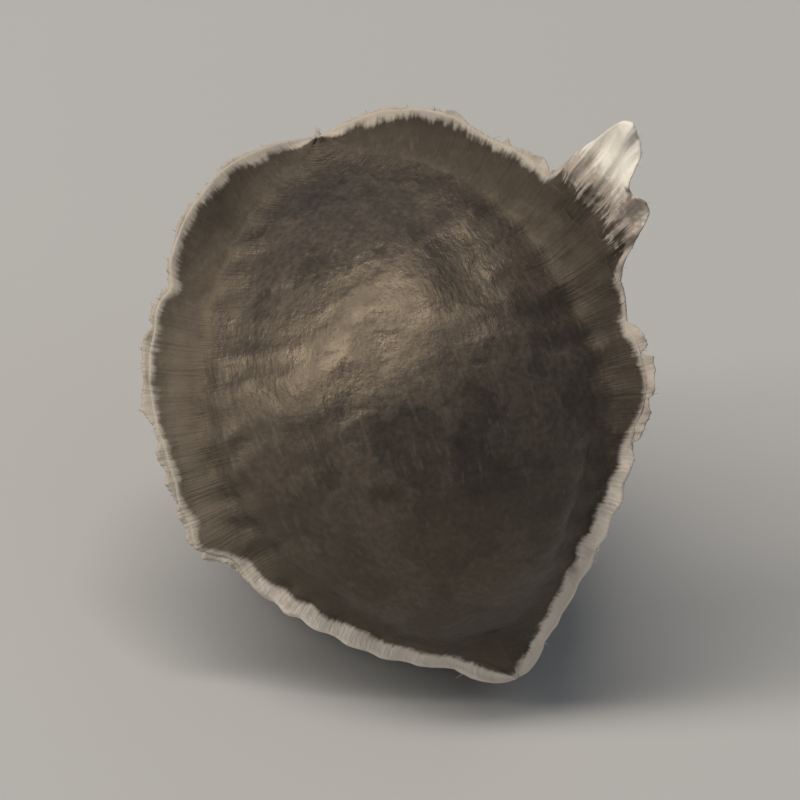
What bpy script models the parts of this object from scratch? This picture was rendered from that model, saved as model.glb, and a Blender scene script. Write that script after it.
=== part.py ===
"""A moringa seed lying on its side: a round kernel in a dry coat that grows out into three papery wings.

The seed is shaped in its growth frame, in millimetres round the middle of the kernel: +Z runs from the
pointed end to the broad end, and the face between the left and the right wing looks along -Y. Angles
down from the broad end are called polar. The shape is then turned as the seed lies, set down on a small
flat spot, and scaled to metres.
"""

import math
import random

import bmesh
import bpy
from mathutils import Matrix, Vector, noise

NAME = "moringa_seed"
METRES_PER_MM = 0.001

# Kernel, as radii from its middle
KERNEL_RADIUS = 4.62
KERNEL_STRETCH = 0.40
FACE_FLATTENING = 0.08

# The coat sweeps up from each face into a wing's foot, less so near the tip
SWEEP_HEIGHT = 0.50
SWEEP_WIDTH = 0.75
SWEEP_LOST_LOW = 0.85
SWEEP_LOST_DEG = (150.0, 30.0)

# Wing rims, as radii from the kernel's middle: round shoulders, then a straight edge down to the tip
RIM_RADIUS = 5.90
SHOULDER_RISE = 0.60
SHOULDER_DEG = (30.0, 34.0)
CROWN_DROP = 0.15
CROWN_DEG = (0.0, 12.0)
TIP_RADIUS = 6.25
TIP_HALF_ANGLE_DEG = 49.0
EDGE_BLEND = 0.14
WIDEST_TURN_DEG = 150.0
TIP_HOOK = Vector((0.52, -0.06, 0.0))
TIP_HOOK_DEG = (180.0, 19.0)

# Section of a wing
LEAST_WING = 0.04
FOOT_THICKNESS = 0.90
RIM_THICKNESS = 0.62
RIM_ROUNDING = 0.16

# Each wing: azimuth in degrees, how far its rim is worn, how ragged it is, how much it sways, its bites
WINGS = (
    ("right", -30.0, 0.00, 0.10, 0.26, 3),
    ("back", 90.0, 0.03, 0.26, 0.34, 9),
    ("left", 210.0, 0.00, 0.09, 0.22, 4),
)
RAGGED_PITCH_DEG = 7.0
SWAY_PITCH_DEG = 24.0
FLUTTER_PITCH_DEG = 9.0

# Bites out of the rims, drawn from a seed
BITE_SEED = 21
BITE_SPAN_DEG = (12.0, 165.0)
BITE_DEPTH = (0.12, 0.42)
BITE_WIDTH_DEG = (2.5, 6.5)

# A torn flap stands up from the right wing, higher on the side of the broad end, with a notch in its edge
FLAP_CENTRE_DEG = 65.0
FLAP_HALF_WIDTH_DEG = 8.5
FLAP_EDGE_DEG = 9.0
FLAP_RISE = 2.15
FLAP_SLANT = 0.25
FLAP_NOTCH = 0.60
FLAP_NOTCH_DEG = (67.5, 2.6)
FLAP_BEND = 0.25
FLAP_BENDS_FROM = 0.6

# The left wing has a small spur, and its rim runs on past the others at the tip
SPUR_RISE = 0.22
SPUR_DEG = (103.0, 3.5)
BEAK_RISE = 0.16
BEAK_DEG = (172.0, 6.0)

# Relief of the coat
RIB_PITCH_DEG = 9.0
RIB_DRIFT_DEG = 5.0
RIB_HEIGHT = 0.09
RIB_REACH = 0.9
DENT_DEPTH = 0.11
DENT_SIZE = 2.6
FOLD_DEPTH = 0.05
FOLDS_ROUND = 15

# How it lies: the back wing is this far round from straight down, and the tip points down
ROLL_DEG = 36.0
PITCH_DEG = 43.5
FLAT_SPOT_DEPTH = 0.15

# Mesh stations: rows from the broad end to the tip, and columns in half a wing's sector
ROWS = 66
RIM_STEPS = 1
FLANK_STEPS = 2
FACE_STEPS = 7
HALF_SECTOR = RIM_STEPS + FLANK_STEPS + FACE_STEPS
COLUMNS = 2 * HALF_SECTOR * len(WINGS)
SECTOR_HALF_DEG = 180.0 / len(WINGS)
# Near the ends a wing takes up no more than this of its sector
CROWDED_DEG = 35.0

SURFACE_SIZE = Vector((20.0, 20.0, 4.0))
COAT_COLOUR = (0.105, 0.085, 0.066, 1.0)
COAT_ROUGHNESS = 0.55


def clear_scene():
    for item in list(bpy.data.objects):
        bpy.data.objects.remove(item, do_unlink=True)


def new_collection(name):
    collection = bpy.data.collections.new(name)
    bpy.context.scene.collection.children.link(collection)
    return collection


def bump(angle, centre, width):
    """A smooth hill of height 1 at centre."""
    return math.exp(-(((angle - centre) / width) ** 2))


def plateau(angle, centre, half_width, edge):
    """1 within half_width of centre, falling to 0 across edge."""
    outside = (abs(angle - centre) - half_width) / edge + 0.5
    share = min(max(outside, 0.0), 1.0)
    return 1.0 - share * share * (3.0 - 2.0 * share)


def lower_of(first, second):
    """The smaller of two radii, with the corner between them rounded."""
    gap = abs(first - second) / EDGE_BLEND
    return min(first, second) - EDGE_BLEND * math.log1p(math.exp(-gap))


def draw_bites():
    """Where each wing's rim is nibbled away: angle, depth and width."""
    draw = random.Random(BITE_SEED)
    return [
        [
            (draw.uniform(*BITE_SPAN_DEG), draw.uniform(*BITE_DEPTH), draw.uniform(*BITE_WIDTH_DEG))
            for _ in range(wing[-1])
        ]
        for wing in WINGS
    ]


def kernel_radius(polar_deg, from_wing_deg):
    """The coat's radius over the kernel. Each face is flattest in its middle."""
    flat = FACE_FLATTENING * (1.0 - math.cos(math.pi * from_wing_deg / SECTOR_HALF_DEG)) / 2.0
    return KERNEL_RADIUS - flat + KERNEL_STRETCH * math.cos(math.radians(polar_deg)) ** 4


def sweep_height(polar_deg):
    """How far the coat climbs a wing's foot."""
    return SWEEP_HEIGHT * (1.0 - SWEEP_LOST_LOW * bump(polar_deg, *SWEEP_LOST_DEG))


def relief(direction, azimuth, polar_deg, from_foot):
    """Shallow dents, folds from end to end, and ribs that run up into a wing."""
    fade = math.sin(math.radians(polar_deg))
    dents = DENT_DEPTH * noise.noise(direction * (KERNEL_RADIUS / DENT_SIZE))
    folds = FOLD_DEPTH * math.cos(FOLDS_ROUND * azimuth + 1.5 * math.sin(3.0 * azimuth))
    drift = RIB_DRIFT_DEG * noise.noise(3.0 * direction)
    ribs = 0.5 + 0.5 * math.cos(math.tau * (polar_deg + drift) / RIB_PITCH_DEG)
    return dents + fade * (folds + RIB_HEIGHT * ribs * math.exp(-from_foot / RIB_REACH))


def straight_edge(polar_deg):
    """The radius of a straight line that leaves the tip at its half angle."""
    half_angle = math.radians(TIP_HALF_ANGLE_DEG)
    turned = min(half_angle + math.radians(180.0 - polar_deg), math.radians(WIDEST_TURN_DEG))
    return TIP_RADIUS * math.sin(half_angle) / math.sin(turned)


def rim_radius(index, polar_deg, bites):
    """A wing's torn outline, as a radius from the kernel's middle."""
    name, _, worn, ragged, _, _ = WINGS[index]
    radius = RIM_RADIUS + SHOULDER_RISE * bump(polar_deg, *SHOULDER_DEG)
    radius -= CROWN_DROP * bump(polar_deg, *CROWN_DEG)
    radius = lower_of(radius, straight_edge(polar_deg))
    fade = math.sin(math.radians(polar_deg))
    tears = ragged * noise.noise(Vector((polar_deg / RAGGED_PITCH_DEG, 10.0 * index, 0.5))) - worn
    for centre, depth, width in bites[index]:
        tears -= depth * bump(polar_deg, centre, width)
    radius += fade * tears
    if name == "right":
        slant = 1.0 + FLAP_SLANT * (FLAP_CENTRE_DEG - polar_deg) / FLAP_HALF_WIDTH_DEG
        flap = plateau(polar_deg, FLAP_CENTRE_DEG, FLAP_HALF_WIDTH_DEG, FLAP_EDGE_DEG)
        radius += FLAP_RISE * slant * flap - FLAP_NOTCH * bump(polar_deg, *FLAP_NOTCH_DEG)
    if name == "left":
        radius += SPUR_RISE * bump(polar_deg, *SPUR_DEG)
        radius += BEAK_RISE * bump(polar_deg, *BEAK_DEG)
    return radius


def sway(index, polar_deg, height):
    """How far a wing leans to one side at this height above its foot."""
    name, _, _, _, amount, _ = WINGS[index]
    wave = noise.noise(Vector((polar_deg / SWAY_PITCH_DEG, 7.0 * index + 3.0, 2.5)))
    wave += 0.5 * noise.noise(Vector((polar_deg / FLUTTER_PITCH_DEG, 7.0 * index, 8.5)))
    lean = amount * math.sin(math.radians(polar_deg)) * wave * height
    if name == "right":
        flap = plateau(polar_deg, FLAP_CENTRE_DEG, FLAP_HALF_WIDTH_DEG, 2.0 * FLAP_EDGE_DEG)
        lean -= FLAP_BEND * flap * max(height - FLAP_BENDS_FROM, 0.0)
    return lean


def wing_section(steps_out, rim, foot):
    """Radius and half thickness on a wing's section, from its crest out over the rim and down the flank."""
    half_rim = RIM_THICKNESS / 2.0
    if steps_out <= RIM_STEPS:
        turn = math.pi / 2.0 * steps_out / RIM_STEPS
        return rim - RIM_ROUNDING * (1.0 - math.cos(turn)), half_rim * math.sin(turn)
    down = (steps_out - RIM_STEPS) / FLANK_STEPS
    shoulder = rim - RIM_ROUNDING
    return shoulder + down * (foot - shoulder), half_rim + down * (FOOT_THICKNESS / 2.0 - half_rim)


def coat_point(column, row, bites):
    """Where the sphere's mesh point at this column and row lies on the seed."""
    step = column % (2 * HALF_SECTOR)
    side = 1.0 if step <= HALF_SECTOR else -1.0
    steps_out = min(step, 2 * HALF_SECTOR - step)
    index = (column + HALF_SECTOR - 1) // (2 * HALF_SECTOR) % len(WINGS)
    wing_azimuth = math.radians(WINGS[index][1])
    outward = Vector((math.cos(wing_azimuth), math.sin(wing_azimuth), 0.0))
    across = Vector((-math.sin(wing_azimuth), math.cos(wing_azimuth), 0.0))

    polar_deg = 180.0 * row / ROWS
    polar = math.radians(polar_deg)
    axis_part = Vector((0.0, 0.0, math.cos(polar)))
    crowded = math.tan(math.radians(CROWDED_DEG))

    from_axis = math.sin(polar) * (kernel_radius(polar_deg, 0.0) + sweep_height(polar_deg))
    foot_half = min(FOOT_THICKNESS / 2.0, from_axis * crowded)
    foot_offset = math.atan2(foot_half, from_axis) if from_axis > 1e-9 else 0.0
    share = max(steps_out - RIM_STEPS - FLANK_STEPS, 0) / FACE_STEPS
    offset = foot_offset + share * (math.radians(SECTOR_HALF_DEG) - foot_offset)
    turned = math.cos(offset) * outward + side * math.sin(offset) * across
    direction = math.sin(polar) * turned + axis_part

    radius = kernel_radius(polar_deg, math.degrees(offset))
    from_foot = radius * math.sin(polar) * (offset - foot_offset)
    radius += sweep_height(polar_deg) * math.exp(-from_foot / SWEEP_WIDTH)
    radius += relief(direction, wing_azimuth + side * offset, polar_deg, from_foot)
    if steps_out >= RIM_STEPS + FLANK_STEPS:
        point = radius * direction
    else:
        rim = max(rim_radius(index, polar_deg, bites), radius + LEAST_WING + RIM_ROUNDING)
        height, half = wing_section(steps_out, rim, radius)
        half = min(half, height * math.sin(polar) * crowded)
        aside = side * half + sway(index, polar_deg, height - radius)
        point = height * (math.sin(polar) * outward + axis_part) + aside * across
    return point + TIP_HOOK * bump(polar_deg, *TIP_HOOK_DEG)


def lying_matrix():
    """Turns the growth frame so that the seed lies with its face towards -Y and its tip low."""
    roll = math.radians(ROLL_DEG)
    pitch = math.radians(PITCH_DEG)
    face = Vector((0.0, -1.0, 0.0))
    right = Vector((1.0, 0.0, 0.0))
    axis = Vector((0.0, 0.0, 1.0))
    up = math.cos(pitch) * (math.cos(roll) * face + math.sin(roll) * right) + math.sin(pitch) * axis
    front = (face - face.dot(up) * up).normalized()
    return Matrix((up.cross(front), -front, up))


def middle_of(points, axis):
    """Halfway between the lowest and the highest coordinate along one axis."""
    along = [point[axis] for point in points]
    return (min(along) + max(along)) / 2.0


def object_from(shape, name, collection):
    mesh = bpy.data.meshes.new(name)
    shape.to_mesh(mesh)
    shape.free()
    made = bpy.data.objects.new(name, mesh)
    collection.objects.link(made)
    return made


def add_seed(collection):
    """A sphere whose points are moved out to the coat, laid on its side over the origin."""
    shape = bmesh.new()
    bmesh.ops.create_uvsphere(shape, u_segments=COLUMNS, v_segments=ROWS, radius=1.0)
    bites = draw_bites()
    lying = lying_matrix()
    for vertex in shape.verts:
        row = round(math.acos(min(max(vertex.co.z, -1.0), 1.0)) / math.pi * ROWS)
        azimuth = math.atan2(vertex.co.y, vertex.co.x) % math.tau
        column = round(azimuth / math.tau * COLUMNS) % COLUMNS
        vertex.co = lying @ coat_point(column, row, bites)
    points = [vertex.co.copy() for vertex in shape.verts]
    below = Vector((middle_of(points, 0), middle_of(points, 1), FLAT_SPOT_DEPTH - KERNEL_RADIUS))
    for vertex in shape.verts:
        vertex.co = (vertex.co - below) * METRES_PER_MM
    bmesh.ops.recalc_face_normals(shape, faces=shape.faces)
    seed = object_from(shape, NAME, collection)
    seed.data.shade_smooth()
    return seed


def add_surface(collection):
    """The level surface that the seed lies on, as a block that trims the flat spot."""
    shape = bmesh.new()
    bmesh.ops.create_cube(shape, size=1.0)
    size = SURFACE_SIZE * METRES_PER_MM
    bmesh.ops.scale(shape, vec=size, verts=shape.verts)
    bmesh.ops.translate(shape, vec=Vector((0.0, 0.0, -size.z / 2.0)), verts=shape.verts)
    surface = object_from(shape, "surface", collection)
    surface.hide_render = True
    surface.display_type = "WIRE"
    return surface


def coat_material():
    material = bpy.data.materials.new("seed_coat")
    material.use_nodes = True
    shader = material.node_tree.nodes["Principled BSDF"]
    shader.inputs["Base Color"].default_value = COAT_COLOUR
    shader.inputs["Roughness"].default_value = COAT_ROUGHNESS
    shader.inputs["Metallic"].default_value = 0.0
    return material


def main():
    clear_scene()
    seed = add_seed(new_collection(NAME))
    seed.data.materials.append(coat_material())
    trim = seed.modifiers.new("flat_spot", "BOOLEAN")
    trim.operation = "DIFFERENCE"
    trim.solver = "EXACT"
    trim.object = add_surface(new_collection("cutters"))


main()
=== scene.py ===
"""The looks of a moringa seed that lies on its side: its dry coat at full detail, the thin torn skin along
the wings' crests and the fibres that fray from it, lit softly over a pale floor.

The coat repeats the solid's formula at finer stations. It is shaped in the seed's growth frame, in
millimetres round the middle of the kernel: +Z runs from the pointed end to the broad end, and the face
between the left and the right wing looks along -Y. Angles down from the broad end are called polar.
"""

import math
import random
from types import SimpleNamespace

import bmesh
import bpy
import numpy as np
from mathutils import Matrix, Vector, noise


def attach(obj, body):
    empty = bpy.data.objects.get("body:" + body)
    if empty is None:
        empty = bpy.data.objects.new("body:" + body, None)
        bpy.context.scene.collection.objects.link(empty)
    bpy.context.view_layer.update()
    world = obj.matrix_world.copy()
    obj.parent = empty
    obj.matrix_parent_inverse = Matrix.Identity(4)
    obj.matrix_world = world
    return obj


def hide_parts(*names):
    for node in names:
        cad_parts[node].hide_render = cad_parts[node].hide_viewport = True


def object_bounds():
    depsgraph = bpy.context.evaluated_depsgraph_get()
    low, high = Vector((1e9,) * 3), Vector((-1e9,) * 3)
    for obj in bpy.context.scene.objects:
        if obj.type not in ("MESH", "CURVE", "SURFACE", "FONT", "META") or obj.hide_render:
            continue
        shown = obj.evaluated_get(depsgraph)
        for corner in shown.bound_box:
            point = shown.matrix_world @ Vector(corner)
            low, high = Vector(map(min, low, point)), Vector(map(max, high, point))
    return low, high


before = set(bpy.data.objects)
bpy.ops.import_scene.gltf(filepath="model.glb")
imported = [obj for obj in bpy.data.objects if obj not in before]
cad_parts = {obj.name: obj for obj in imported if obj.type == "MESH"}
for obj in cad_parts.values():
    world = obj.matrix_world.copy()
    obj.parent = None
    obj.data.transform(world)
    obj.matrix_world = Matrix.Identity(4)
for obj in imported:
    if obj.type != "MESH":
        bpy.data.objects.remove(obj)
SOLID_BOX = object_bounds()

NODE = "moringa_seed"
METRES_PER_MM = 0.001

# Kernel, as radii from its middle
KERNEL_RADIUS = 4.62
KERNEL_STRETCH = 0.40
FACE_FLATTENING = 0.08

# The coat sweeps up from each face into a wing's foot, less so near the tip
SWEEP_HEIGHT = 0.50
SWEEP_WIDTH = 0.75
SWEEP_LOST_LOW = 0.85
SWEEP_LOST_DEG = (150.0, 30.0)

# Wing rims, as radii from the kernel's middle: round shoulders, then a straight edge down to the tip
RIM_RADIUS = 5.90
SHOULDER_RISE = 0.60
SHOULDER_DEG = (30.0, 34.0)
CROWN_DROP = 0.15
CROWN_DEG = (0.0, 12.0)
TIP_RADIUS = 6.25
TIP_HALF_ANGLE_DEG = 49.0
EDGE_BLEND = 0.14
WIDEST_TURN_DEG = 150.0
TIP_HOOK = Vector((0.52, -0.06, 0.0))
TIP_HOOK_DEG = (180.0, 19.0)

# Each wing: its azimuth, its rim's wear and raggedness, its sway, bites, pale skin left and torn skin's rows
WINGS = (
    SimpleNamespace(
        name="right", azimuth_deg=-30.0, worn=0.00, ragged=0.10, sway=0.26, bites=3, pale=0.08, skin_rows=24
    ),
    SimpleNamespace(
        name="back", azimuth_deg=90.0, worn=0.03, ragged=0.26, sway=0.34, bites=9, pale=0.60, skin_rows=8
    ),
    SimpleNamespace(
        name="left", azimuth_deg=210.0, worn=0.00, ragged=0.09, sway=0.22, bites=4, pale=1.00, skin_rows=8
    ),
)
SECTOR_HALF_DEG = 180.0 / len(WINGS)
LEAST_CREST = 0.20
RAGGED_PITCH_DEG = 7.0
SWAY_PITCH_DEG = 24.0
FLUTTER_PITCH_DEG = 9.0
FLUTTER_SHARE = 0.5

# Smooth noise along a wing is read on a lane of its own: a step from wing to wing, a start and a depth
RAGGED_LANE = (10.0, 0.0, 0.5)
SWAY_LANE = (7.0, 3.0, 2.5)
FLUTTER_LANE = (7.0, 0.0, 8.5)

# Bites out of the rims, drawn from a seed
BITE_SEED = 21
BITE_SPAN_DEG = (12.0, 165.0)
BITE_DEPTH = (0.12, 0.42)
BITE_WIDTH_DEG = (2.5, 6.5)

# A torn flap stands up from the right wing, higher on the side of the broad end, with a notch in its edge
FLAP_CENTRE_DEG = 65.0
FLAP_HALF_WIDTH_DEG = 8.5
FLAP_EDGE_DEG = 9.0
FLAP_RISE = 2.15
FLAP_SLANT = 0.25
FLAP_NOTCH = 0.60
FLAP_NOTCH_DEG = (67.5, 2.6)
FLAP_BEND = 0.25
FLAP_BENDS_FROM = 0.6
FLAP_BEND_EDGE_DEG = 2.0 * FLAP_EDGE_DEG

# The left wing has a small spur, and its rim runs on past the others at the tip
SPUR_RISE = 0.22
SPUR_DEG = (103.0, 3.5)
BEAK_RISE = 0.16
BEAK_DEG = (172.0, 6.0)

# Relief of the coat: ribs, dents, and folds whose course wanders this far, so many times round
RIB_PITCH_DEG = 9.0
RIB_DRIFT_DEG = 5.0
RIB_DRIFT_SCALE = 3.0
RIB_HEIGHT = 0.09
RIB_REACH = 0.9
DENT_DEPTH = 0.11
DENT_SIZE = 2.6
FOLD_DEPTH = 0.05
FOLDS_ROUND = 15
FOLD_WANDER = 1.5
FOLD_WANDERS_ROUND = 3.0

# How it lies: the back wing is this far round from straight down, and the tip points down
ROLL_DEG = 36.0
PITCH_DEG = 43.5
FLAT_SPOT_DEPTH = 0.15

# The section of a wing: the solid's thick one, which sets the seed's place, and the papery one that shows
RIM, FLANK, FACE = "rim", "flank", "face"
SOLID = SimpleNamespace(
    rim=0.62, foot=0.90, rounding=0.16, hollow=1.0, crowded_deg=35.0, fine=False,
    rim_steps=1, flank_steps=2, face_steps=7, rows=66,
)
PAPER = SimpleNamespace(
    rim=0.11, foot=0.72, rounding=0.05, hollow=2.0, crowded_deg=50.0, fine=True,
    rim_steps=3, flank_steps=15, face_steps=46, rows=250,
)
ON_THE_AXIS = 1e-9

# The papery wing stops this far below the solid's rim, and this share of the way up the flap
SKIN_REACH = 0.14
FLAP_SHARE = 0.10

# Past it goes a thin skin, broken off along straight stretches, frayed and curled
SKIN_SPAN_DEG = (2.0, 178.0)
SKIN_STATIONS = 1000
SKIN_SUNK = 0.45
SKIN_LOWEST_EDGE = SKIN_SUNK / 3.0
SKIN_HALF_THICKNESS = (0.050, 0.016)
SKIN_CROWDED = 0.5
FLAP_ROOT_HALF_THICKNESS = 0.052
BREAK_SEED = 5
BREAK_PITCH_DEG = (0.6, 5.0)
BREAK_DEPTH = (-0.17, 0.11)
FRAYS = ((0.80, 0.030), (0.33, 0.022))
FRAY_LANE = (10.0, 3.0, 6.5)

# The skin curls with its reach past the crest. Each curl: its share, its waves to a pitch and its lane
CURL_REACH = 0.45
CURL_UP_TO = 2.0 * SKIN_REACH
CURL_PITCH_DEG = 3.4
CURLS = ((1.0, 1.0, (9.0, 0.0, 4.4)), (0.5, 2.3, (9.0, 0.0, 1.4)))

# Flutter and crumpling of the wings
RIPPLE_PITCH_DEG = 3.6
RIPPLE_REACH = 0.07
RIPPLE_LANE = (7.0, 0.0, 0.0)
RIPPLE_CLIMB = 1.8
CRUMPLE_SEED = 3
CRUMPLE_CREASES = 7
CRUMPLE_SIZE = (0.55, 2.2)
CRUMPLE_SLOPE = 0.20
CRUMPLE_WARP = 0.35
CRUMPLE_WARP_DEPTH = 3.3

# Fibrous ribs that run up the flanks: pitch and height, and their lanes' steps by wing, by side and by row
FIBRE_RIBS = ((3.7, 0.022), (1.7, 0.010))
FIBRE_RIB_LANES = (11.0, 4.0, 5.0)
FIBRE_REACH = 1.1

# The gutter at each wing's foot: its depth, flat floor and width, and what the low edges add to each
GUTTER_DEPTH = (0.07, 0.20)
GUTTER_FLOOR = (0.12, 0.34)
GUTTER_WIDTH = (0.26, 0.12)
LOW_EDGE_DEG = (138.0, 34.0)
LOW_FOOT_SHARE = 0.45

# Near the seed's axis the wings crowd each other, and the faces rise to the ends
CROWDED_RADIUS = 1.1
END_FILLET = 0.62

# The folds of the fine coat show in patches only
FOLD_PATCH_SIZE = 2.2
FOLD_PATCH_SHIFT = Vector((5.0, 2.0, 9.0))
FOLD_PATCH_LEVEL = 0.35
FOLD_PATCH_GAIN = 1.2

# Wrinkles over the whole coat: their size, their height on a face and their height on a wing
WRINKLES = ((1.15, 0.024, 0.040), (0.42, 0.0065, 0.020), (0.17, 0.0022, 0.009))
WRINKLE_SHIFT = Vector((3.1, 7.7, 1.3))
WING_FROM_HEIGHT = 0.4

# Patches where a thin outer layer is left on the coat
PATCH_SIZE = 1.5
PATCH_FRACTAL = (0.9, 2.1, 4)
PATCH_LEVEL = 0.06
PATCH_EDGE = 0.14
PATCH_THICKNESS = 0.012

# Small pits in the faces
PIT_SEED = 8
PIT_COUNT = 60
PIT_DEPTH = (0.008, 0.035)
PIT_WIDTH = (0.08, 0.20)

# Fibres that stick out of the torn skin, how far they lean and curl along and across it, and how they thin
FIBRE_SEED = 31
FIBRES_PER_WING = 70
FIBRE_SPAN_DEG = (8.0, 172.0)
FIBRE_LENGTH = (0.05, 0.20)
FIBRE_RADIUS = (0.006, 0.013)
FIBRE_SINK = 0.06
FIBRE_LEAN = (0.55, 0.45)
FIBRE_CURL = (0.4, 0.5)
FIBRE_TAPER = 0.8
FIBRE_RINGS = 6
FIBRE_SIDES = 5
FIBRE_HEIGHT = 1.0

# Colours of the kernel's coat, the painted shade of its pits and low gutter, and how much of it a pit takes
# on
DARK_COAT = (0.0215, 0.0185, 0.0172, 1.0)
BROWN_COAT = (0.0375, 0.0306, 0.0268, 1.0)
PATCH_COAT = (0.0580, 0.0475, 0.0400, 1.0)
HAIR_COAT = (0.0950, 0.0800, 0.0660, 1.0)
PIT_PAINTED_SHADE = (0.35, 0.32, 0.30, 1.0)
PIT_PAINTED_SHADE_SHARE = 0.8
GUTTER_PAINTED_SHADE = (0.44, 0.42, 0.41, 1.0)
WHITE = (1.0, 1.0, 1.0, 1.0)

# Colours of the wings' flanks, of their torn rims and of the flap
FLANK_DARK = (0.025, 0.0215, 0.0190, 1.0)
FLANK_BROWN = (0.074, 0.061, 0.048, 1.0)
FLANK_TAN = (0.118, 0.101, 0.080, 1.0)
# The rims' cream: dim round the broad end as painted shade, bright along the low edges as painted light
SHADED_RIM_CREAM = (0.430, 0.392, 0.340, 1.0)
PAPER_CREAM = (0.790, 0.725, 0.640, 1.0)
FLAP_PALE = (0.730, 0.705, 0.640, 1.0)
FLAP_STAIN = (0.262, 0.220, 0.192, 1.0)

# The material's noises: scale, detail and, where it isn't the usual one, roughness
MOTTLE_NOISE = (1.1, 6.0, 0.62)
BLOTCH_NOISE = (1.9, 4.0, 0.6)
GRIT_NOISE = (8.0, 3.0)
STREAK_NOISE = (3.4, 4.0, 0.6)
HAIR_NOISE = (9.0, 3.0, 0.5)
FIBRE_NOISE = (1.0, 4.0, 0.6)
POLISH_NOISE = (1.7, 4.0)
GRAIN_NOISE = (9.0, 4.0, 0.6)

# How streaks, hairs and fibres are drawn out, and how far apart the wings lie in the fibres' noise
STREAK_STRETCH = (1.0, 1.0, 0.16)
HAIR_STRETCH = (1.0, 1.0, 0.10)
FIBRE_STRETCH = (1.4, 0.9, 1.0)
GRAIN_WING_STEP = 10.0

# Steps of the kernel's colours: a value's low and high, and what it becomes there where that isn't 0 and 1
MOTTLED = (0.34, 0.68)
PATCH_RAGGED = (0.3, 0.7, -0.3, 0.3)
PATCH_COVER = (0.3, 0.8, 0.0, 0.55)
STREAK_COVER = (0.54, 0.72, 0.0, 0.30)
HAIR_COVER = (0.54, 0.74, 0.0, 0.32)
GRIT_SHADES = (0.30, 0.70, 0.72, 1.28)
# Where the painted shade lies in the gutter along the low edges
GUTTER_FROM_FACE = (-1.15, -0.55)
GUTTER_TO_FOOT = (-0.40, 0.0, 1.0, 0.0)
LOW_GUTTER_DEG = (110.0, 134.0)

# How far the borders of the colours wander along the wings
WANDER_DEG = (0.3, 0.7, -4.0, 4.0)

# Steps of the flanks' colours. The first darkens the flanks towards the broad end: partly less pale skin,
# partly painted shadow
PALE_AND_PAINTED_SHADOW_DEG = (25.0, 66.0, 0.12, 1.0)
VEIL_NEAR_FOOT = (-1.4, 0.0, 0.0, 0.9)
VEIL_BLOTCHED = (0.40, 0.62, 0.3, 1.0)
TAN_FIBRES = (0.30, 0.66, 0.62, 1.0)
PAPERY_BLOTCHES = (0.30, 0.60, 0.35, 1.0)
FLANK_CLIMBS = (-0.15, 0.75)
PALE_FLANK_CLIMBS = (-0.10, 0.40)

# Steps of the torn rims' colours, and how much wider the rims are along the low edges
RIM_FRAYED = (0.3, 0.7, 0.04, -0.04)
RIM_BLOTCHED = (0.3, 0.7, -0.08, 0.08)
RIM_COVER = (0.20, 0.40, 0.95, 0.0)
# The rims turn from dim, painted shade at the broad end to bright, painted light along the low edges
LIT_LOW_RIM_DEG = (106.0, 130.0)
LOW_RIM_WIDER = 0.16

# Steps of the flap's colours
FLAP_FRAYED = (0.3, 0.7, -0.22, 0.22)
FLAP_BLOTCHED = (0.3, 0.7, -0.20, 0.20)
FLAP_COVER = (1.22, 1.58)
FLAP_STAINED_LOW = (1.65, 2.25, 0.85, 0.0)
FLAP_STAIN_DEG = (64.0, 69.0)
FLAP_CLEAR_DEG = (70.0, 75.0, 1.0, 0.3)

# Sheen, roughness and fine bumps of the coat: the distance in metres and the strength of each bump
SHEEN_TINT = (1.0, 0.84, 0.62, 1.0)
SHEEN_LEVEL = 0.80
FACE_ROUGHNESS = (0.35, 0.65, 0.34, 0.47)
WING_ROUGHNESS = (0.0, 0.6, 0.92, 0.80)
WING_ROUGH_FROM = (-0.4, 0.3)
GRAIN_BUMP = (0.00003, 0.4)
STREAK_BUMP = (0.00004, 0.4)
HAIR_BUMP = (0.00002, 0.5)
FIBRE_BUMP = (0.00005, 0.6)
FIBRE_BUMP_FROM = (-1.1, 0.1)

# The photograph's view: from in front and above, with the camera turned a little about its line of sight
VIEW_ELEVATION_DEG = 36.0
VIEW_ROLL_DEG = 14.0
VIEW_DISTANCE = 0.30
VIEW_WIDTH = 0.0165
SENSOR_MM = 36.0
CLIP_SHARES = (0.1, 10.0)
AIM_SHIFT = (-0.0002, -0.0016)

# Lights: the way there as the camera sees it (right, up, back), distance, size, turn, power and colour
LIGHTS = (
    ("key", (-0.37, 0.64, 0.67), 0.30, (0.48, 0.060), 29.0, 1.16, (1.0, 0.91, 0.81)),
    ("side", (-0.90, 0.02, 0.43), 0.35, (0.22, 0.20), 0.0, 0.14, (1.0, 0.91, 0.80)),
    ("back", (0.35, 0.85, -0.45), 0.35, (0.25, 0.12), 0.0, 0.08, (1.0, 0.98, 0.95)),
)
WORLD_COLOUR = (0.88, 0.93, 1.0, 1.0)
WORLD_STRENGTH = 0.22
FLOOR_SIZE = 0.6
FLOOR_DROP = 0.00001
FLOOR_COLOUR = (0.45, 0.455, 0.455, 1.0)
FLOOR_ROUGHNESS = 0.9


def bump(angle, centre, width):
    """A smooth hill of height 1 at centre."""
    return math.exp(-(((angle - centre) / width) ** 2))


def plateau(angle, centre, half_width, edge):
    """1 within half_width of centre, falling to 0 across edge."""
    outside = (abs(angle - centre) - half_width) / edge + 0.5
    share = min(max(outside, 0.0), 1.0)
    return 1.0 - share * share * (3.0 - 2.0 * share)


def lower_of(first, second):
    """The smaller of two radii, with the corner between them rounded."""
    gap = abs(first - second) / EDGE_BLEND
    return min(first, second) - EDGE_BLEND * math.log1p(math.exp(-gap))


def lane_noise(along, index, lane, deeper=0.0):
    """Smooth noise along a wing, on this lane."""
    step, start, depth = lane
    return noise.noise(Vector((along, step * index + start, depth + deeper)))


def draw_bites():
    """Where each wing's rim is nibbled away: angle, depth and width."""
    draw = random.Random(BITE_SEED)
    return [
        [
            (draw.uniform(*BITE_SPAN_DEG), draw.uniform(*BITE_DEPTH), draw.uniform(*BITE_WIDTH_DEG))
            for _ in range(wing.bites)
        ]
        for wing in WINGS
    ]


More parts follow.
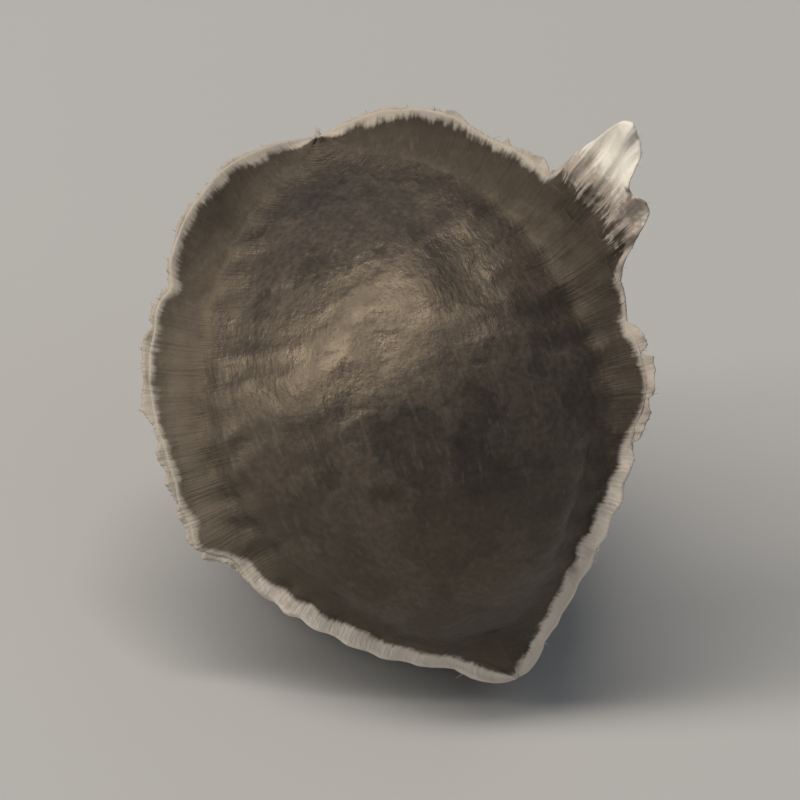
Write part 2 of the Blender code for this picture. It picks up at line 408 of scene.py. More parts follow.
def draw_breaks():
    """The torn skin's outline along each wing: the angles of its corners and their heights."""
    draw = random.Random(BREAK_SEED)
    outlines = []
    for _ in WINGS:
        angles, heights = [0.0], [0.0]
        while angles[-1] < 180.0:
            angles.append(angles[-1] + draw.uniform(*BREAK_PITCH_DEG))
            heights.append(draw.uniform(*BREAK_DEPTH))
        outlines.append((angles, heights))
    return outlines


def draw_creases():
    """The waves that crumple the flap: each one's heading, length and start."""
    draw = random.Random(CRUMPLE_SEED)
    return [
        (draw.uniform(0.0, math.pi), draw.uniform(*CRUMPLE_SIZE), draw.random())
        for _ in range(CRUMPLE_CREASES)
    ]


BITES = draw_bites()
BREAKS = draw_breaks()
CREASES = draw_creases()


def kernel_radius(polar_deg, from_wing_deg):
    """The coat's radius over the kernel. Each face is flattest in its middle."""
    flat = FACE_FLATTENING * (1.0 - math.cos(math.pi * from_wing_deg / SECTOR_HALF_DEG)) / 2.0
    return KERNEL_RADIUS - flat + KERNEL_STRETCH * math.cos(math.radians(polar_deg)) ** 4


def sweep_height(polar_deg):
    """How far the coat climbs a wing's foot."""
    return SWEEP_HEIGHT * (1.0 - SWEEP_LOST_LOW * bump(polar_deg, *SWEEP_LOST_DEG))


def relief(direction, azimuth, polar_deg, from_foot, section):
    """Shallow dents, folds from end to end, and ribs that run up into a wing."""
    fade = math.sin(math.radians(polar_deg))
    dents = DENT_DEPTH * noise.noise(direction * (KERNEL_RADIUS / DENT_SIZE))
    wander = FOLD_WANDER * math.sin(FOLD_WANDERS_ROUND * azimuth)
    folds = FOLD_DEPTH * math.cos(FOLDS_ROUND * azimuth + wander)
    if section.fine:
        patch = noise.noise(direction * (KERNEL_RADIUS / FOLD_PATCH_SIZE) + FOLD_PATCH_SHIFT)
        folds *= min(max(FOLD_PATCH_LEVEL + FOLD_PATCH_GAIN * patch, 0.0), 1.0)
    drift = RIB_DRIFT_DEG * noise.noise(RIB_DRIFT_SCALE * direction)
    ribs = 0.5 + 0.5 * math.cos(math.tau * (polar_deg + drift) / RIB_PITCH_DEG)
    return dents + fade * (folds + RIB_HEIGHT * ribs * math.exp(-from_foot / RIB_REACH))


def straight_edge(polar_deg):
    """The radius of a straight line that leaves the tip at its half angle."""
    half_angle = math.radians(TIP_HALF_ANGLE_DEG)
    turned = min(half_angle + math.radians(180.0 - polar_deg), math.radians(WIDEST_TURN_DEG))
    return TIP_RADIUS * math.sin(half_angle) / math.sin(turned)


def flap_share(polar_deg, edge_deg=FLAP_EDGE_DEG):
    """1 across the flap, falling to 0 beside it."""
    return plateau(polar_deg, FLAP_CENTRE_DEG, FLAP_HALF_WIDTH_DEG, edge_deg)


def rim_radius(index, polar_deg, section):
    """A wing's torn outline, as a radius from the kernel's middle."""
    wing = WINGS[index]
    radius = RIM_RADIUS + SHOULDER_RISE * bump(polar_deg, *SHOULDER_DEG)
    radius -= CROWN_DROP * bump(polar_deg, *CROWN_DEG)
    radius = lower_of(radius, straight_edge(polar_deg))
    fade = math.sin(math.radians(polar_deg))
    tears = wing.ragged * lane_noise(polar_deg / RAGGED_PITCH_DEG, index, RAGGED_LANE) - wing.worn
    for centre, depth, width in BITES[index]:
        tears -= depth * bump(polar_deg, centre, width)
    if section.fine:
        tears -= SKIN_REACH
    radius += fade * tears
    if wing.name == "right":
        slant = 1.0 + FLAP_SLANT * (FLAP_CENTRE_DEG - polar_deg) / FLAP_HALF_WIDTH_DEG
        flap = FLAP_RISE * slant * flap_share(polar_deg) - FLAP_NOTCH * bump(polar_deg, *FLAP_NOTCH_DEG)
        radius += flap * FLAP_SHARE if section.fine else flap
    if wing.name == "left":
        radius += SPUR_RISE * bump(polar_deg, *SPUR_DEG)
        radius += BEAK_RISE * bump(polar_deg, *BEAK_DEG)
    return radius


def crumpled(along, up):
    """Like crumpled paper: flat facets with sharp creases between them, about 0 on average."""
    warp = CRUMPLE_WARP * noise.noise(Vector((along, up, CRUMPLE_WARP_DEPTH)))
    height = 0.0
    for heading, length, start in CREASES:
        way = (along * math.cos(heading) + up * math.sin(heading) + warp) / length + start
        height += length * (abs(way % 1.0 - 0.5) - 0.25)
    return CRUMPLE_SLOPE * height


def sway(index, polar_deg, height, section):
    """How far a wing leans to one side at this height above its foot."""
    wing = WINGS[index]
    wave = lane_noise(polar_deg / SWAY_PITCH_DEG, index, SWAY_LANE)
    wave += FLUTTER_SHARE * lane_noise(polar_deg / FLUTTER_PITCH_DEG, index, FLUTTER_LANE)
    fade = math.sin(math.radians(polar_deg))
    lean = wing.sway * fade * wave * height
    if section.fine:
        ripple = lane_noise(polar_deg / RIPPLE_PITCH_DEG, index, RIPPLE_LANE, RIPPLE_CLIMB * height)
        lean += RIPPLE_REACH * fade * ripple * min(height, 1.0)
    if wing.name == "right":
        flap = flap_share(polar_deg, FLAP_BEND_EDGE_DEG)
        beyond = max(height - FLAP_BENDS_FROM, 0.0)
        lean -= FLAP_BEND * flap * beyond
        if section.fine:
            along = math.radians(polar_deg - FLAP_CENTRE_DEG) * (RIM_RADIUS + FLAP_RISE / 2.0)
            lean += flap * min(beyond, 1.0) * crumpled(along, height)
    return lean


def wing_section(zone, share, rim, foot, foot_thickness, section):
    """Radius and half thickness on a wing's section, from its crest out over the rim and down the flank."""
    half_rim = section.rim / 2.0
    if zone == RIM:
        turn = math.pi / 2.0 * share
        return rim - section.rounding * (1.0 - math.cos(turn)), half_rim * math.sin(turn)
    shoulder = rim - section.rounding
    widening = share**section.hollow * (foot_thickness / 2.0 - half_rim)
    return shoulder + share * (foot - shoulder), half_rim + widening


def fibre_ribs(index, side, polar_deg):
    """Height of the fine ribs that run from a face out over a wing's flank."""
    wing_step, side_step, row_step = FIBRE_RIB_LANES
    height = 0.0
    for row, (pitch_deg, rise) in enumerate(FIBRE_RIBS):
        lane = (wing_step, side_step * side, row_step * row)
        height += rise * lane_noise(polar_deg / pitch_deg, index, lane)
    return height


def wing_axes(index):
    """The direction in which a wing stands out from the seed's axis, and the one across the wing."""
    azimuth = math.radians(WINGS[index].azimuth_deg)
    outward = Vector((math.cos(azimuth), math.sin(azimuth), 0.0))
    across = Vector((-math.sin(azimuth), math.cos(azimuth), 0.0))
    return outward, across


def wing_point(index, polar_deg, out, aside):
    """The point of a wing at this radius and this far to the side of its plane."""
    outward, across = wing_axes(index)
    polar = math.radians(polar_deg)
    point = out * (math.sin(polar) * outward + Vector((0.0, 0.0, math.cos(polar)))) + aside * across
    return point + TIP_HOOK * bump(polar_deg, *TIP_HOOK_DEG)


def coat_point(place, polar_deg, rim, next_rim, edge, section):
    """The coat's point at a place on a wing or face, its height on the wing and how far the edge is.

    rim and next_rim are the crests of this wing and of the wing across the face, and edge is where the
    thin skin on this wing ends, all as radii.
    """
    index, side, zone, share = place
    wing_azimuth = math.radians(WINGS[index].azimuth_deg)
    outward, across = wing_axes(index)
    polar = math.radians(polar_deg)
    fade = math.sin(polar)
    crowded = math.tan(math.radians(section.crowded_deg))

    low_edge = bump(polar_deg, *LOW_EDGE_DEG) if section.fine else 0.0
    from_axis = fade * (kernel_radius(polar_deg, 0.0) + sweep_height(polar_deg))
    foot_thickness = section.foot * (1.0 - (1.0 - LOW_FOOT_SHARE) * low_edge)
    foot_half = min(foot_thickness / 2.0, from_axis * crowded)
    foot_offset = math.atan2(foot_half, from_axis) if from_axis > ON_THE_AXIS else 0.0
    over_face = share if zone == FACE else 0.0
    half_face = math.radians(SECTOR_HALF_DEG) - foot_offset
    offset = foot_offset + over_face * half_face
    turned = math.cos(offset) * outward + side * math.sin(offset) * across
    direction = fade * turned + Vector((0.0, 0.0, math.cos(polar)))

    radius = kernel_radius(polar_deg, math.degrees(offset))
    from_foot = radius * fade * (offset - foot_offset)
    if section.fine:
        from_foot = radius * fade * half_face * math.sin(over_face * math.pi / 2.0) * 2.0 / math.pi
    radius += sweep_height(polar_deg) * math.exp(-from_foot / SWEEP_WIDTH)
    radius += relief(direction, wing_azimuth + side * offset, polar_deg, from_foot, section)
    crest = max(rim, radius + LEAST_CREST)
    if section.fine:
        roomy = fade * (1.0 - math.exp(-((radius * fade / CROWDED_RADIUS) ** 2)))
        ribs = roomy * fibre_ribs(index, side, polar_deg)
        depth, floor, width = (
            amount + more * low_edge for amount, more in (GUTTER_DEPTH, GUTTER_FLOOR, GUTTER_WIDTH)
        )
        towards_foot = (1.0 + math.cos(math.pi * over_face)) / 2.0
        radius += ribs * towards_foot * math.exp(-from_foot / FIBRE_REACH)
        radius -= roomy * depth * bump(max(from_foot, floor), floor, width)
        halfway = (1.0 - math.cos(math.pi * over_face)) / 4.0
        end = crest + halfway * (max(next_rim, radius + LEAST_CREST) - crest)
        radius += (end - radius) * math.exp(-((radius * fade / END_FILLET) ** 2))
    if zone == FACE:
        point = radius * direction + TIP_HOOK * bump(polar_deg, *TIP_HOOK_DEG)
        return point, -from_foot, max(edge, crest) - radius + foot_half + from_foot
    out, half = wing_section(zone, share, crest, radius, foot_thickness, section)
    if section.fine and zone == FLANK:
        half += ribs
    half = min(half, out * fade * crowded)
    height = out - radius
    aside = side * half + sway(index, polar_deg, height, section)
    return wing_point(index, polar_deg, out, aside), height, max(edge, crest) - out + half


def half_sector(section):
    """The stations of half a wing's sector, from the wing's crest to the middle of the face beside it."""
    rim = [(RIM, step / section.rim_steps) for step in range(section.rim_steps + 1)]
    flank = [(FLANK, step / section.flank_steps) for step in range(1, section.flank_steps)]
    face = [(FACE, step / section.face_steps) for step in range(section.face_steps + 1)]
    return rim + flank + face


def station(column, stations):
    """The wing, side, zone and share of a column of the mesh."""
    half = len(stations) - 1
    step = column % (2 * half)
    side = 1.0 if step <= half else -1.0
    zone, share = stations[min(step, 2 * half - step)]
    index = (column + half - 1) // (2 * half) % len(WINGS)
    return index, side, zone, share


def grown_shape(section):
    """A sphere whose points are moved out to the coat, in the growth frame, and each point's facts."""
    stations = half_sector(section)
    columns = 2 * (len(stations) - 1) * len(WINGS)
    places = [station(column, stations) for column in range(columns)]
    angles = [180.0 * row / section.rows for row in range(section.rows + 1)]
    rims = [[rim_radius(index, angle, section) for angle in angles] for index in range(len(WINGS))]
    edges = [[rim_radius(index, angle, SOLID) for angle in angles] for index in range(len(WINGS))]
    shape = bmesh.new()
    bmesh.ops.create_uvsphere(shape, u_segments=columns, v_segments=section.rows, radius=1.0)
    facts = []
    for vertex in shape.verts:
        row = round(math.acos(min(max(vertex.co.z, -1.0), 1.0)) / math.pi * section.rows)
        azimuth = math.atan2(vertex.co.y, vertex.co.x) % math.tau
        place = places[round(azimuth / math.tau * columns) % columns]
        index, side, *_ = place
        next_rim = rims[(index + int(side)) % len(WINGS)][row]
        found = coat_point(place, angles[row], rims[index][row], next_rim, edges[index][row], section)
        vertex.co = found[0]
        facts.append((index, angles[row], *found[1:]))
    return shape, facts


def lying_matrix():
    """Turns the growth frame so that the seed lies with its face towards -Y and its tip low."""
    roll = math.radians(ROLL_DEG)
    pitch = math.radians(PITCH_DEG)
    face = Vector((0.0, -1.0, 0.0))
    right = Vector((1.0, 0.0, 0.0))
    axis = Vector((0.0, 0.0, 1.0))
    up = math.cos(pitch) * (math.cos(roll) * face + math.sin(roll) * right) + math.sin(pitch) * axis
    front = (face - face.dot(up) * up).normalized()
    return Matrix((up.cross(front), -front, up))


def resting_place(lying):
    """The point of the turned growth frame that lies under the middle of the solid, on the floor."""
    shape, _ = grown_shape(SOLID)
    points = np.array([lying @ vertex.co for vertex in shape.verts])
    shape.free()
    middle = (points.min(axis=0) + points.max(axis=0)) / 2.0
    return np.array((middle[0], middle[1], FLAT_SPOT_DEPTH - KERNEL_RADIUS))


LYING = lying_matrix()
BELOW = resting_place(LYING)


def laid_down(points):
    """Points of the growth frame, in millimetres, as the seed lies, in metres. None is under the floor."""
    placed = (points @ np.array(LYING).T - BELOW) * METRES_PER_MM
    placed[:, 2] = np.maximum(placed[:, 2], 0.0)
    return placed


def read_vectors(items, name):
    """The vectors of a mesh's points or normals, one a row."""
    values = np.empty(len(items) * 3, np.float32)
    items.foreach_get(name, values)
    return values.reshape(-1, 3).astype(float)


def add_numbers(mesh, name, values):
    """Gives each point a number that the material reads."""
    attribute = mesh.attributes.new(name, "FLOAT", "POINT")
    attribute.data.foreach_set("value", np.asarray(values, np.float32))


def add_vectors(mesh, name, values):
    """Gives each point a vector that the material reads."""
    attribute = mesh.attributes.new(name, "FLOAT_VECTOR", "POINT")
    attribute.data.foreach_set("vector", np.asarray(values, np.float32).ravel())


def wrinkle(points, on_wing):
    """Height of the fine wrinkles at each point."""
    heights = np.zeros(len(points))
    for level, (size, on_face, high) in enumerate(WRINKLES):
        shift = level * WRINKLE_SHIFT
        waves = np.array([noise.noise(Vector(p) / size + shift) for p in points])
        heights += (on_face + (high - on_face) * on_wing) * waves
    return heights


def outer_patches(points):
    """1 where a thin outer layer is left on the coat, 0 where it has come off."""
    level = np.array([noise.fractal(Vector(p) / PATCH_SIZE, *PATCH_FRACTAL) for p in points])
    share = np.clip((level - PATCH_LEVEL) / PATCH_EDGE, 0.0, 1.0)
    return share * share * (3.0 - 2.0 * share)


def pits(points, on_wing):
    """Depth of the small pits in the faces, and how far each point is inside one."""
    draw = np.random.default_rng(PIT_SEED)
    depths = np.zeros(len(points))
    shades = np.zeros(len(points))
    for chosen in draw.choice(len(points), PIT_COUNT, replace=False):
        width = draw.uniform(*PIT_WIDTH)
        depth = draw.uniform(*PIT_DEPTH)
        apart = np.sum((points - points[chosen]) ** 2, axis=1)
        hollow = np.exp(-apart / width**2) * (1.0 - on_wing)
        depths += depth * hollow
        shades = np.maximum(shades, hollow)
    return depths, shades


def finished(name, mesh, points, facts, material):
    """Lays a mesh down at points of the growth frame, with the facts that its material reads."""
    index, polar_deg, height, to_rim = (np.array(column) for column in zip(*facts))
    pale = np.array([wing.pale for wing in WINGS])
    add_vectors(mesh, "growth", points)
    add_vectors(mesh, "grain", np.stack((polar_deg, height, GRAIN_WING_STEP * index), axis=1))
    add_numbers(mesh, "height", height)
    add_numbers(mesh, "to_rim", to_rim)
    add_numbers(mesh, "pale", pale[index.astype(int)])
    mesh.vertices.foreach_set("co", laid_down(points).astype(np.float32).ravel())
    mesh.update()
    mesh.shade_smooth()
    mesh.materials.append(material)
    piece = bpy.data.objects.new(name, mesh)
    bpy.context.scene.collection.objects.link(piece)
    return piece


def add_coat(material):
    """The seed's coat with its papery wings, wrinkled and pitted along its normals."""
    shape, facts = grown_shape(PAPER)
    mesh = bpy.data.meshes.new("seed_coat")
    bmesh.ops.recalc_face_normals(shape, faces=shape.faces)
    shape.to_mesh(mesh)
    shape.free()
    points = read_vectors(mesh.vertices, "co")
    normals = read_vectors(mesh.vertex_normals, "vector")
    heights = np.array([height for _, _, height, _ in facts])
    on_wing = np.clip(heights / WING_FROM_HEIGHT, 0.0, 1.0)
    depths, shades = pits(points, on_wing)
    patches = outer_patches(points)
    raised = wrinkle(points, on_wing) + PATCH_THICKNESS * patches * (1.0 - on_wing) - depths
    add_numbers(mesh, "patch", patches)
    add_numbers(mesh, "pit", shades)
    return finished("seed_coat", mesh, points + normals * raised[:, None], facts, material)


def torn_outline(index, polar_deg):
    """How far the thin skin stands past the wing's smooth rim: broken stretches, then frayed fibres."""
    angles, heights = BREAKS[index]
    height = float(np.interp(polar_deg, angles, heights))
    for pitch_deg, depth in FRAYS:
        height += depth * lane_noise(polar_deg / pitch_deg, index, FRAY_LANE)
    return height


def skin_edge(index, polar_deg):
    """Radii of the wing's foot, of the crest that the skin stands on, and of the skin's torn edge."""
    fade = math.sin(math.radians(polar_deg))
    foot = kernel_radius(polar_deg, 0.0) + sweep_height(polar_deg)
    crest = max(rim_radius(index, polar_deg, PAPER), foot + LEAST_CREST)
    edge = max(rim_radius(index, polar_deg, SOLID), foot + LEAST_CREST)
    edge += fade * torn_outline(index, polar_deg)
    return foot, crest, max(edge, crest - SKIN_LOWEST_EDGE)


def skin_aside(index, polar_deg, out, foot, crest):
    """How far the skin leans to the side: with the wing, and curled more the further it stands out."""
    curl = 0.0
    for share, waves, lane in CURLS:
        curl += share * lane_noise(waves * polar_deg / CURL_PITCH_DEG, index, lane)
    beyond = min(max(out - crest, 0.0), CURL_UP_TO)
    return sway(index, polar_deg, out - foot, PAPER) + CURL_REACH * beyond * curl


def skin_ring(index, polar_deg, rows):
    """A closed section of a wing's thin skin, up one side and down the other, and each point's facts."""
    foot, crest, edge = skin_edge(index, polar_deg)
    low = crest - SKIN_SUNK
    root_half, edge_half = SKIN_HALF_THICKNESS
    if WINGS[index].name == "right":
        root_half += FLAP_ROOT_HALF_THICKNESS * flap_share(polar_deg, FLAP_BEND_EDGE_DEG)
    ring, facts = [], []
    for side, order in ((1.0, range(rows + 1)), (-1.0, range(rows, -1, -1))):
        for row in order:
            share = row / rows
            out = low + share * (edge - low)
            half = root_half + share * (edge_half - root_half)
            half = min(half, SKIN_CROWDED * out * math.sin(math.radians(polar_deg)))
            aside = skin_aside(index, polar_deg, out, foot, crest) + side * half
            ring.append(wing_point(index, polar_deg, out, aside))
            facts.append((index, polar_deg, out - foot, edge - out))
    return ring, facts


def tube_faces(first, rings, sides):
    """The faces of a closed tube whose points start at first: quads round it and a cap at each end."""
    last = first + (rings - 1) * sides
    faces = [tuple(range(first + sides - 1, first - 1, -1)), tuple(range(last, last + sides))]
    for ring in range(rings - 1):
        for side in range(sides):
            here = first + ring * sides
            after = (side + 1) % sides
            faces.append((here + side, here + after, here + sides + after, here + sides + side))
    return faces


def add_skin(material):
    """The thin torn skin along the three wings' crests, with the flap."""
    points, facts, faces = [], [], []
    for index, wing in enumerate(WINGS):
        faces += tube_faces(len(points), SKIN_STATIONS, 2 * (wing.skin_rows + 1))
        for polar_deg in np.linspace(*SKIN_SPAN_DEG, SKIN_STATIONS):
            ring, ring_facts = skin_ring(index, float(polar_deg), wing.skin_rows)
            points += ring
            facts += ring_facts
    mesh = bpy.data.meshes.new("torn_skin")
    mesh.from_pydata(points, [], faces)
    return finished("torn_skin", mesh, np.array(points), facts, material)


def fibre_path(draw, index, polar_deg):
    """A short curved line that leaves a wing's torn edge."""
    foot, crest, edge = skin_edge(index, polar_deg)
    root = wing_point(index, polar_deg, edge, skin_aside(index, polar_deg, edge, foot, crest))
    outward, across = wing_axes(index)
    polar = math.radians(polar_deg)
    out = math.sin(polar) * outward + Vector((0.0, 0.0, math.cos(polar)))
    along = math.cos(polar) * outward - Vector((0.0, 0.0, math.sin(polar)))
    lean_along, lean_across = (draw.gauss(0.0, spread) for spread in FIBRE_LEAN)
    heading = (out + lean_along * along + lean_across * across).normalized()
    curl_along, curl_across = (draw.gauss(0.0, spread) for spread in FIBRE_CURL)
    curl = curl_along * along + curl_across * across
    length = draw.uniform(*FIBRE_LENGTH)
    path = []
    for ring in range(FIBRE_RINGS):
        reach = ring / (FIBRE_RINGS - 1)
        path.append(root + heading * (length * reach - FIBRE_SINK) + curl * (length * reach * reach))
    return path


def tapered_rings(path, radius):
    """Rings of points round a path, thinner towards its end."""
    rings = []
    for place, point in enumerate(path):
        heading = (path[min(place + 1, len(path) - 1)] - path[max(place - 1, 0)]).normalized()
        first = heading.orthogonal().normalized()
        second = heading.cross(first)
        width = radius * (1.0 - FIBRE_TAPER * place / (len(path) - 1))
        for step in range(FIBRE_SIDES):
            turn = math.tau * step / FIBRE_SIDES
            rings.append(point + width * (math.cos(turn) * first + math.sin(turn) * second))
    return rings


def add_fibres(material):
    """The short fibres along the torn skin's edge."""
    draw = random.Random(FIBRE_SEED)
    points, facts, faces = [], [], []
    for index in range(len(WINGS)):
        for _ in range(FIBRES_PER_WING):
            polar_deg = draw.uniform(*FIBRE_SPAN_DEG)
            faces += tube_faces(len(points), FIBRE_RINGS, FIBRE_SIDES)
            points += tapered_rings(fibre_path(draw, index, polar_deg), draw.uniform(*FIBRE_RADIUS))
            facts += [(index, polar_deg, FIBRE_HEIGHT, 0.0)] * (FIBRE_RINGS * FIBRE_SIDES)
    mesh = bpy.data.meshes.new("rim_fibres")
    mesh.from_pydata(points, [], faces)
    return finished("rim_fibres", mesh, np.array(points), facts, material)


class Tree:
    """A material's node tree, with short calls for the nodes that the scene uses."""

    def __init__(self, material):
        material.use_nodes = True
        self.tree = material.node_tree
        self.shader = self.tree.nodes["Principled BSDF"]

    def add(self, kind, inputs=(), **settings):
        """A new node. An input that is another node's output is linked, and any other one is set."""
        node = self.tree.nodes.new(kind)
        for name, value in settings.items():
            setattr(node, name, value)
        for name, value in dict(inputs).items():
            if isinstance(value, bpy.types.NodeSocket):
                self.tree.links.new(value, node.inputs[name])
            else:
                node.inputs[name].default_value = value
        return node

    def shade_with(self, name, socket):
        self.tree.links.new(socket, self.shader.inputs[name])

    def number(self, name):
        return self.add("ShaderNodeAttribute", attribute_name=name).outputs["Fac"]

    def vector(self, name):
        return self.add("ShaderNodeAttribute", attribute_name=name).outputs["Vector"]

    def scaled(self, vector, scale):
        node = self.add("ShaderNodeVectorMath", {0: vector, 1: scale}, operation="MULTIPLY")
        return node.outputs[0]

    def noise(self, vector, scale, detail, rough=0.55):
        inputs = {"Vector": vector, "Scale": scale, "Detail": detail, "Roughness": rough}
        return self.add("ShaderNodeTexNoise", inputs).outputs["Fac"]

    def maths(self, operation, first, second):
        return self.add("ShaderNodeMath", {0: first, 1: second}, operation=operation).outputs[0]

    def times(self, first, second):
        return self.maths("MULTIPLY", first, second)

    def between(self, value, low, high, start=0.0, end=1.0):
        """start where value is at low, end at high, and a smooth step from one to the other."""
        inputs = {"Value": value, "From Min": low, "From Max": high, "To Min": start, "To Max": end}
        node = self.add("ShaderNodeMapRange", inputs, interpolation_type="SMOOTHSTEP")
        return node.outputs["Result"]

    def mix(self, share, first, second, blend="MIX"):
        """first where share is 0, and second where it is 1."""
        inputs = {"Factor": share, 6: first, 7: second}
        node = self.add("ShaderNodeMix", inputs, data_type="RGBA", blend_type=blend)
        return node.outputs[2]

    def darkened(self, colour, shade):
        return self.mix(1.0, colour, shade, "MULTIPLY")

    def mix_numbers(self, share, first, second):
        return self.add("ShaderNodeMix", {"Factor": share, 2: first, 3: second}).outputs[0]

    def grey(self, value):
        return self.add("ShaderNodeCombineColor", {0: value, 1: value, 2: value}).outputs[0]

    def bumped(self, height, distance, strength, normal=None):
        """The normal over a relief of this height, laid over another normal if one is given."""
        inputs = {"Height": height, "Distance": distance, "Strength": strength}
        if normal is not None:
            inputs["Normal"] = normal
        return self.add("ShaderNodeBump", inputs).outputs["Normal"]


def coat_readings(tree):
    """What the coat's colours and bumps are worked out from."""
    growth = tree.vector("growth")
    grain = tree.vector("grain")
    polar = tree.add("ShaderNodeSeparateXYZ", {0: grain}).outputs[0]
    blotches = tree.noise(growth, *BLOTCH_NOISE)
    return SimpleNamespace(
        growth=growth,
        height=tree.number("height"),
        blotches=blotches,
        wandering=tree.maths("ADD", polar, tree.between(blotches, *WANDER_DEG)),
        streaks=tree.noise(tree.scaled(growth, STREAK_STRETCH), *STREAK_NOISE),
        hairs=tree.noise(tree.scaled(growth, HAIR_STRETCH), *HAIR_NOISE),
        fibres=tree.noise(tree.scaled(grain, FIBRE_STRETCH), *FIBRE_NOISE),
    )


def kernel_colour(tree, read):
    """Dark grey-brown, browner where a layer is left, with pale streaks and hairs, and gritty."""
    mottle = tree.noise(read.growth, *MOTTLE_NOISE)
    colour = tree.mix(tree.between(mottle, *MOTTLED), DARK_COAT, BROWN_COAT)
    ragged = tree.maths("ADD", tree.number("patch"), tree.between(mottle, *PATCH_RAGGED))
    colour = tree.mix(tree.between(ragged, *PATCH_COVER), colour, PATCH_COAT)
    colour = tree.mix(tree.between(read.streaks, *STREAK_COVER), colour, PATCH_COAT)
    colour = tree.mix(tree.between(read.hairs, *HAIR_COVER), colour, HAIR_COAT)
    grit = tree.between(tree.noise(read.growth, *GRIT_NOISE), *GRIT_SHADES)
    return tree.darkened(colour, tree.grey(grit))


def flank_colour(tree, read, colour):
    """Tan where a wing's pale skin is left, brown or dark where it is gone, over the coat's colour, and
    darker towards the broad end, partly as painted shadow.
    """
    # pale also carries painted shadow: it falls off towards the broad end
    pale = tree.times(tree.number("pale"), tree.between(read.wandering, *PALE_AND_PAINTED_SHADOW_DEG))
    near_foot = tree.between(read.height, *VEIL_NEAR_FOOT)
    veil = tree.times(near_foot, tree.between(read.blotches, *VEIL_BLOTCHED))
    colour = tree.mix(tree.times(veil, pale), colour, FLANK_BROWN)
    tan_share = tree.times(tree.between(read.fibres, *TAN_FIBRES), pale)
    flank = tree.mix(tan_share, tree.mix(pale, FLANK_DARK, FLANK_BROWN), FLANK_TAN)
    papery = tree.between(read.blotches, *PAPERY_BLOTCHES)
    climbing = tree.times(tree.between(read.height, *FLANK_CLIMBS), papery)
    pale_climbing = tree.times(tree.between(read.height, *PALE_FLANK_CLIMBS), pale)
    return tree.mix(tree.maths("MAXIMUM", climbing, pale_climbing), colour, flank)


def rim_colour(tree, read, colour):
    """Cream along the torn rims: dim round the broad end as painted shade, and bright as painted light and
    wider along the low edges.
    """
    line = tree.maths("ADD", tree.number("to_rim"), tree.between(read.fibres, *RIM_FRAYED))
    line = tree.maths("ADD", line, tree.between(read.blotches, *RIM_BLOTCHED))
    lit_low_rim = tree.between(read.wandering, *LIT_LOW_RIM_DEG)
    line = tree.maths("SUBTRACT", line, tree.times(lit_low_rim, LOW_RIM_WIDER))
    cream = tree.mix(lit_low_rim, SHADED_RIM_CREAM, PAPER_CREAM)
    return tree.mix(tree.between(line, *RIM_COVER), colour, cream)


def flap_colour(tree, read, colour):
    """The flap is nearly white, and stained at its root and on one side."""
    line = tree.maths("ADD", read.height, tree.between(read.fibres, *FLAP_FRAYED))
    line = tree.maths("ADD", line, tree.between(read.blotches, *FLAP_BLOTCHED))
    low_on_flap = tree.between(line, *FLAP_STAINED_LOW)
    stained = tree.maths("MAXIMUM", low_on_flap, tree.between(read.wandering, *FLAP_STAIN_DEG))
    stained = tree.times(stained, tree.between(read.wandering, *FLAP_CLEAR_DEG))
    flap = tree.mix(stained, FLAP_PALE, FLAP_STAIN)
    return tree.mix(tree.between(line, *FLAP_COVER), colour, flap)


def painted_pit_and_gutter_shade(tree, read, colour):
    """Painted shade: darker in the pits, and in the gutter along the low edges."""
    in_pit = tree.times(tree.number("pit"), PIT_PAINTED_SHADE_SHARE)
    colour = tree.darkened(colour, tree.mix(in_pit, WHITE, PIT_PAINTED_SHADE))
    in_gutter = tree.between(read.height, *GUTTER_FROM_FACE)
    in_gutter = tree.times(in_gutter, tree.between(read.height, *GUTTER_TO_FOOT))
    in_gutter = tree.times(in_gutter, tree.between(read.wandering, *LOW_GUTTER_DEG))
    return tree.darkened(colour, tree.mix(in_gutter, WHITE, GUTTER_PAINTED_SHADE))


def coat_roughness(tree, read):
    """Dull wings, and faces with a faint patchy polish."""
    face = tree.between(tree.noise(read.growth, *POLISH_NOISE), *FACE_ROUGHNESS)
    wing = tree.between(tree.number("to_rim"), *WING_ROUGHNESS)
    return tree.mix_numbers(tree.between(read.height, *WING_ROUGH_FROM), face, wing)


def coat_normal(tree, read):
    """The finest relief: grain, streaks and hairs all over, and fibres up the wings."""
    normal = tree.bumped(tree.noise(read.growth, *GRAIN_NOISE), *GRAIN_BUMP)
    normal = tree.bumped(read.streaks, *STREAK_BUMP, normal)
    normal = tree.bumped(read.hairs, *HAIR_BUMP, normal)
    ribbed = tree.times(read.fibres, tree.between(read.height, *FIBRE_BUMP_FROM))
    return tree.bumped(ribbed, *FIBRE_BUMP, normal)


def coat_material():
    """The dry coat, its wings and their torn skin, told apart by the facts that each point holds."""
    material = bpy.data.materials.new("dry_seed_coat")
    tree = Tree(material)
    read = coat_readings(tree)
    colour = kernel_colour(tree, read)
    for layer in (flank_colour, rim_colour, flap_colour, painted_pit_and_gutter_shade):
        colour = layer(tree, read, colour)
    tree.shade_with("Base Color", colour)
    tree.shade_with("Roughness", coat_roughness(tree, read))
    tree.shade_with("Normal", coat_normal(tree, read))
    tree.shader.inputs["Specular Tint"].default_value = SHEEN_TINT
    tree.shader.inputs["Specular IOR Level"].default_value = SHEEN_LEVEL
    return material


def view_axes():
    """The picture's right, up and back directions in the world."""
    elevation = math.radians(VIEW_ELEVATION_DEG)
    roll = math.radians(VIEW_ROLL_DEG)
    right = Vector((1.0, 0.0, 0.0))
    back = Vector((0.0, -math.cos(elevation), math.sin(elevation)))
    up = back.cross(right)
    return (
        math.cos(roll) * right + math.sin(roll) * up,
        math.cos(roll) * up - math.sin(roll) * right,
        back,
    )


def turned_to(right, up, back, location):
    """A matrix for a camera or light at location that looks along -back."""
    turned = Matrix((right, up, back)).transposed().to_4x4()
    turned.translation = location
    return turned


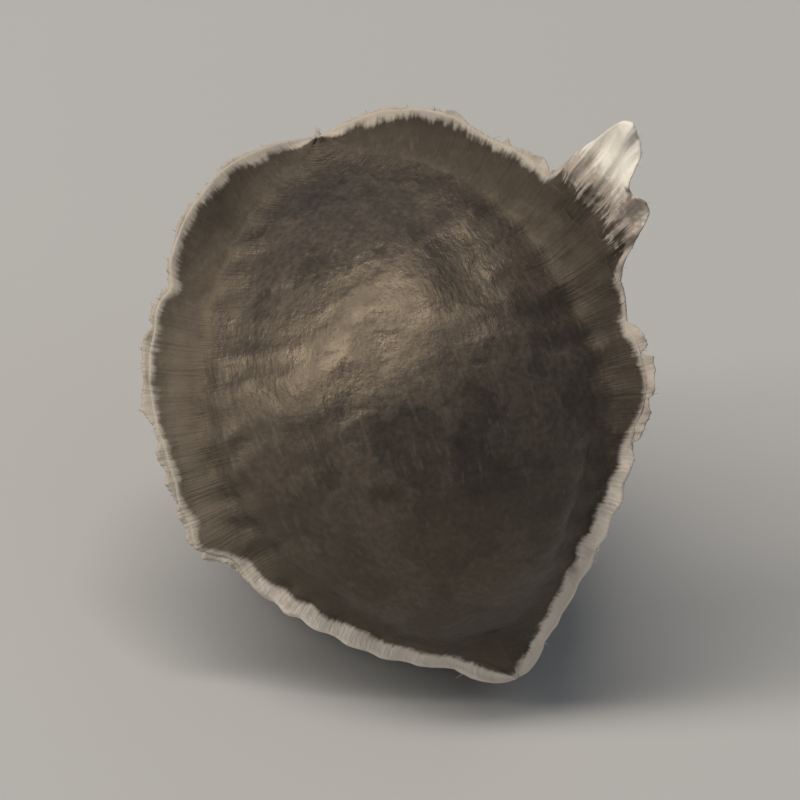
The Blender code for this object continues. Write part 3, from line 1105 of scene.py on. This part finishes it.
def add_camera(target):
    """The camera, from the photograph's side of the seed."""
    right, up, back = view_axes()
    data = bpy.data.cameras.new("camera")
    data.sensor_width = SENSOR_MM
    data.lens = SENSOR_MM * VIEW_DISTANCE / VIEW_WIDTH
    data.clip_start, data.clip_end = (share * VIEW_DISTANCE for share in CLIP_SHARES)
    camera = bpy.data.objects.new("camera", data)
    bpy.context.scene.collection.objects.link(camera)
    aim = target + AIM_SHIFT[0] * right + AIM_SHIFT[1] * up
    camera.matrix_world = turned_to(right, up, back, aim + VIEW_DISTANCE * back)
    bpy.context.scene.camera = camera


def add_light(target, name, way, distance, size, turn_deg, power, colour):
    """A soft rectangular light that faces the seed."""
    right, up, back = view_axes()
    to_light = (way[0] * right + way[1] * up + way[2] * back).normalized()
    turn = math.radians(turn_deg)
    wide = math.cos(turn) * right + math.sin(turn) * up
    wide = (wide - wide.dot(to_light) * to_light).normalized()
    data = bpy.data.lights.new(name, "AREA")
    data.shape = "RECTANGLE"
    data.size, data.size_y = size
    data.energy = power
    data.color = colour
    light = bpy.data.objects.new(name, data)
    light.visible_camera = False
    bpy.context.scene.collection.objects.link(light)
    light.matrix_world = turned_to(wide, to_light.cross(wide), to_light, target + distance * to_light)


def add_floor():
    """A plain pale floor, a hair below the seed."""
    shape = bmesh.new()
    bmesh.ops.create_grid(shape, x_segments=1, y_segments=1, size=FLOOR_SIZE / 2.0)
    mesh = bpy.data.meshes.new("floor")
    shape.to_mesh(mesh)
    shape.free()
    floor = bpy.data.objects.new("floor", mesh)
    floor.location.z = -FLOOR_DROP
    bpy.context.scene.collection.objects.link(floor)
    material = bpy.data.materials.new("pale_floor")
    tree = Tree(material)
    tree.shader.inputs["Base Color"].default_value = FLOOR_COLOUR
    tree.shader.inputs["Roughness"].default_value = FLOOR_ROUGHNESS
    floor.data.materials.append(material)


def add_world():
    """Dim, slightly cool light from all round."""
    world = bpy.data.worlds.new("studio")
    world.use_nodes = True
    background = world.node_tree.nodes["Background"]
    background.inputs["Color"].default_value = WORLD_COLOUR
    background.inputs["Strength"].default_value = WORLD_STRENGTH
    bpy.context.scene.world = world


bpy.context.scene.view_settings.view_transform = "Standard"
coat_look = coat_material()
coat = add_coat(coat_look)
skin = add_skin(coat_look)
fibres = add_fibres(coat_look)
for piece in (coat, skin, fibres):
    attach(piece, "root")
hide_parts(NODE)

low, high = SOLID_BOX
middle = (low + high) / 2.0
add_camera(middle)
for light in LIGHTS:
    add_light(middle, *light)
add_floor()
add_world()
